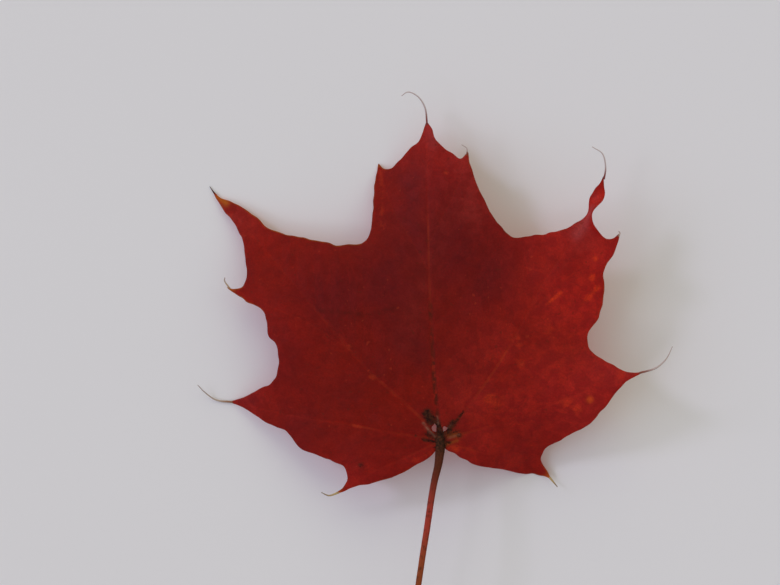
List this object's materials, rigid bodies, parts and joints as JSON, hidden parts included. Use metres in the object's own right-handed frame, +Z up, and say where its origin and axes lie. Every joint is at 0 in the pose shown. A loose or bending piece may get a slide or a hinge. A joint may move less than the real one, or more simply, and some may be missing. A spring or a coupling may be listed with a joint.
{
  "type": "maple leaf",
  "caption": "Palmate autumn maple leaf with pointed lobes and bristle-tipped teeth, gently domed and curled, lying on its lobe tips and the foot of its long arched stalk.",
  "frame": {"origin": "centre of the leaf's box in plan, on the surface that it lies on", "axes": "+Y from the stalk's foot towards the middle lobe's tip, +Z up from the surface, upper face of the blade upwards, +X to the right seen from above"},
  "size_m": [0.1286, 0.1852, 0.0195],
  "materials": {
    "leaf_blade": "satin",
    "leaf_stalk": "satin"
  },
  "bodies": {
    "root": {"maple_leaf": "leaf_blade"}
  },
  "joints": []
}
